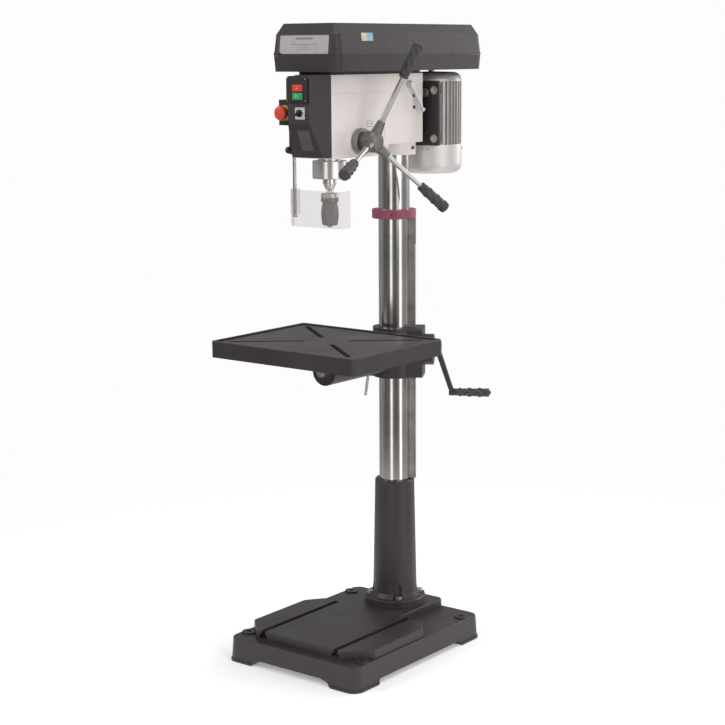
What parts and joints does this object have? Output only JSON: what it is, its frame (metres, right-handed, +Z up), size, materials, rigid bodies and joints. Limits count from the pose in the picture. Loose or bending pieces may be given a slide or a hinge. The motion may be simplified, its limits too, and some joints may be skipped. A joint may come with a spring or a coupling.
{
  "type": "floor drill press",
  "caption": "Floor-standing drill press: ribbed base, column with rack and cranked tilting table, belt-driven head with motor, quill feed arms, keyless chuck, guard and controls.",
  "frame": {"origin": "on the floor, at the middle of the four anchor holes in the base", "axes": "+Z up along the column; -Y towards the operator at the front; +X to the right of somebody who looks along +Y, the side of the feed arms"},
  "size_m": [0.5203, 0.8345, 1.83],
  "materials": {
    "dark_cast": "satin",
    "cover_paint": "satin",
    "table_iron": "satin",
    "light_paint": "satin",
    "steel": "satin",
    "ground_steel": "polished",
    "rack_steel": "satin",
    "ring_paint": "satin",
    "black_steel": "satin",
    "grip_rubber": "matte",
    "cast_aluminium": "satin",
    "belt_rubber": "matte",
    "motor_paint": "satin",
    "black_plastic": "matte",
    "window_plastic": "gloss",
    "red_plastic": "gloss",
    "green_plastic": "gloss",
    "white_plastic": "satin",
    "yellow_plastic": "gloss",
    "clear_plastic": "clear"
  },
  "bodies": {
    "machine": {"base_casting": "dark_cast", "column_foot": "dark_cast", "foot_bolts": "steel", "column_tube": "ground_steel", "rack_ring": "ring_paint", "set_screws": "black_steel", "head_casting": "light_paint", "front_cover": "cover_paint", "display_window": "window_plastic", "switch_housing": "black_plastic", "rotary_plate": "white_plastic", "estop_box": "black_plastic", "estop_collar": "yellow_plastic", "guard_bracket": "black_plastic", "guard_knob": "black_plastic", "belt_tray": "cover_paint", "idler_shaft": "steel", "drive_belts": "belt_rubber", "spring_housing": "cast_aluminium"},
    "rack": {"table_rack": "rack_steel"},
    "bracket": {"table_bracket": "dark_cast", "tilt_bolt": "steel"},
    "table": {"table_plate": "table_iron"},
    "pinion": {"table_pinion": "steel"},
    "crank": {"crank_arm": "dark_cast"},
    "crank_handle": {"crank_grip": "grip_rubber"},
    "lock_lever": {"table_lock": "steel"},
    "quill_body": {"quill": "ground_steel", "quill_bearings": "steel"},
    "spindle_body": {"spindle": "steel", "chuck_body": "black_steel"},
    "sleeve": {"chuck_sleeve": "black_steel"},
    "jaw_1": {"chuck_jaw_1": "steel"},
    "jaw_2": {"chuck_jaw_2": "steel"},
    "jaw_3": {"chuck_jaw_3": "steel"},
    "capstan": {"feed_shaft": "steel", "capstan_hub": "cast_aluminium", "capstan_rods": "ground_steel", "capstan_grips": "grip_rubber"},
    "stop_ring": {"depth_ring": "cast_aluminium"},
    "drive": {"spindle_pulley": "cast_aluminium"},
    "idler": {"idler_pulley": "cast_aluminium"},
    "motor": {"motor_frame": "motor_paint", "motor_cowl": "motor_paint", "motor_plate": "cover_paint", "motor_fasteners": "steel", "slide_rods": "ground_steel", "terminal_box": "black_plastic"},
    "rotor": {"motor_pulley": "cast_aluminium", "motor_shaft": "steel"},
    "tension": {"tension_lever": "steel"},
    "lid": {"belt_lid": "cover_paint"},
    "stop": {"stop_button": "red_plastic"},
    "start": {"start_button": "green_plastic"},
    "rotary": {"rotary_knob": "black_plastic"},
    "estop": {"estop_mushroom": "red_plastic"},
    "guard_post": {"guard_stem": "ground_steel"},
    "guard": {"guard_clip": "black_plastic", "guard_shield": "clear_plastic"}
  },
  "joints": [
    {"name": "table_swing", "type": "hinge", "parent": "machine", "child": "rack", "pos_m": [0, 0.192, 0], "axis": [0, 0, 1], "range_deg": [-180, 180]},
    {"name": "table_crank", "type": "hinge", "parent": "bracket", "child": "crank", "pos_m": [0.11219, 0.23368, 0.89], "axis": [0.866, 0.5, 0], "range_deg": [-8938, 8164]},
    {"name": "table_lift", "type": "slide", "parent": "rack", "child": "bracket", "axis": [0, 0, 1], "range_m": [-0.3127, 0.2857]},
    {"name": "table_pinion_turn", "type": "hinge", "parent": "bracket", "child": "pinion", "pos_m": [0.06426, 0.2291, 0.863], "axis": [0.5, -0.866, 0], "range_deg": [-1495, 1365]},
    {"name": "crank_grip_spin", "type": "hinge", "parent": "crank", "child": "crank_handle", "pos_m": [0.11219, 0.23368, 0.756], "axis": [0.866, 0.5, 0], "continuous": true},
    {"name": "table_tilt", "type": "hinge", "parent": "bracket", "child": "table", "pos_m": [0, 0, 0.86], "axis": [0, 1, 0], "range_deg": [-45, 45]},
    {"name": "table_lock_turn", "type": "hinge", "parent": "bracket", "child": "lock_lever", "pos_m": [-0.06068, 0.14459, 0.818], "axis": [0.6157, -0.788, 0], "range_deg": [-60, 15]},
    {"name": "capstan_turn", "type": "hinge", "parent": "machine", "child": "capstan", "pos_m": [0, -0.0662, 1.508], "axis": [1, 0, 0], "range_deg": [0, 570], "stiffness_Nm_per_rad": 0.15, "springref_deg": -687.55},
    {"name": "quill_feed", "type": "slide", "parent": "machine", "child": "quill_body", "axis": [0, 0, -1], "range_m": [-0.0005, 0.1205]},
    {"name": "pulley_spin", "type": "hinge", "parent": "machine", "child": "drive", "pos_m": [0, -0.108, 0], "axis": [0, 0, 1], "continuous": true},
    {"name": "spindle_spin", "type": "hinge", "parent": "quill_body", "child": "spindle_body", "pos_m": [0, -0.108, 0], "axis": [0, 0, 1], "continuous": true},
    {"name": "idler_spin", "type": "hinge", "parent": "machine", "child": "idler", "pos_m": [0, 0.132, 0], "axis": [0, 0, 1], "continuous": true},
    {"name": "motor_spin", "type": "hinge", "parent": "motor", "child": "rotor", "pos_m": [0, 0.38, 0], "axis": [0, 0, 1], "continuous": true},
    {"name": "motor_slide", "type": "slide", "parent": "machine", "child": "motor", "axis": [0, 1, 0], "range_m": [-0.012, 0]},
    {"name": "tension_lever_turn", "type": "hinge", "parent": "machine", "child": "tension", "pos_m": [0, 0.176, 1.66], "axis": [1, 0, 0], "range_deg": [-61, 1]},
    {"name": "lid_open", "type": "hinge", "parent": "machine", "child": "lid", "pos_m": [-0.123, 0, 1.7445], "axis": [0, -1, 0], "range_deg": [0, 95]},
    {"name": "estop_push", "type": "slide", "parent": "machine", "child": "estop", "axis": [0, 1, 0], "range_m": [0, 0.004], "stiffness_N_per_m": 600, "springref_m": -0.002},
    {"name": "stop_press", "type": "slide", "parent": "machine", "child": "stop", "axis": [0, 1, 0], "range_m": [0, 0.002], "stiffness_N_per_m": 400, "springref_m": -0.002},
    {"name": "start_press", "type": "slide", "parent": "machine", "child": "start", "axis": [0, 1, 0], "range_m": [0, 0.002], "stiffness_N_per_m": 400, "springref_m": -0.002},
    {"name": "rotary_turn", "type": "hinge", "parent": "machine", "child": "rotary", "pos_m": [0.006, 0, 1.589], "axis": [0, 1, 0], "range_deg": [-45, 45]},
    {"name": "guard_height", "type": "slide", "parent": "machine", "child": "guard_post", "axis": [0, 0, 1], "range_m": [-0.05, 0.03]},
    {"name": "guard_swing", "type": "hinge", "parent": "guard_post", "child": "guard", "pos_m": [-0.09, -0.153, 0], "axis": [0, 0, 1], "range_deg": [-110, 0]},
    {"name": "depth_ring_turn", "type": "hinge", "parent": "machine", "child": "stop_ring", "pos_m": [0, -0.0662, 1.508], "axis": [1, 0, 0], "range_deg": [-170, 170]},
    {"name": "chuck_twist", "type": "hinge", "parent": "spindle_body", "child": "sleeve", "pos_m": [0, -0.108, 0], "axis": [0, 0, 1], "range_deg": [0, 180]},
    {"name": "jaw_1_slide", "type": "slide", "parent": "spindle_body", "child": "jaw_1", "axis": [-0.1392, 0, -0.9903], "range_m": [-0.0101, 0.0001]},
    {"name": "jaw_2_slide", "type": "slide", "parent": "spindle_body", "child": "jaw_2", "axis": [0.0696, -0.1205, -0.9903], "range_m": [-0.0101, 0.0001]},
    {"name": "jaw_3_slide", "type": "slide", "parent": "spindle_body", "child": "jaw_3", "axis": [0.0696, 0.1205, -0.9903], "range_m": [-0.0101, 0.0001]}
  ],
  "couplings": [
    {"joint": "table_lift", "follows": "table_crank", "m_per_rad": 0.002},
    {"joint": "table_pinion_turn", "follows": "table_crank", "ratio": 0.16667},
    {"joint": "quill_feed", "follows": "capstan_turn", "m_per_rad": 0.012},
    {"joint": "spindle_spin", "follows": "pulley_spin", "ratio": 1},
    {"joint": "idler_spin", "follows": "pulley_spin", "ratio": 1.2489},
    {"joint": "motor_spin", "follows": "pulley_spin", "ratio": 3.4783},
    {"joint": "tension_lever_turn", "follows": "motor_slide", "rad_per_m": 87.27},
    {"joint": "jaw_1_slide", "follows": "chuck_twist", "m_per_rad": -0.00318},
    {"joint": "jaw_2_slide", "follows": "chuck_twist", "m_per_rad": -0.00318},
    {"joint": "jaw_3_slide", "follows": "chuck_twist", "m_per_rad": -0.00318}
  ]
}
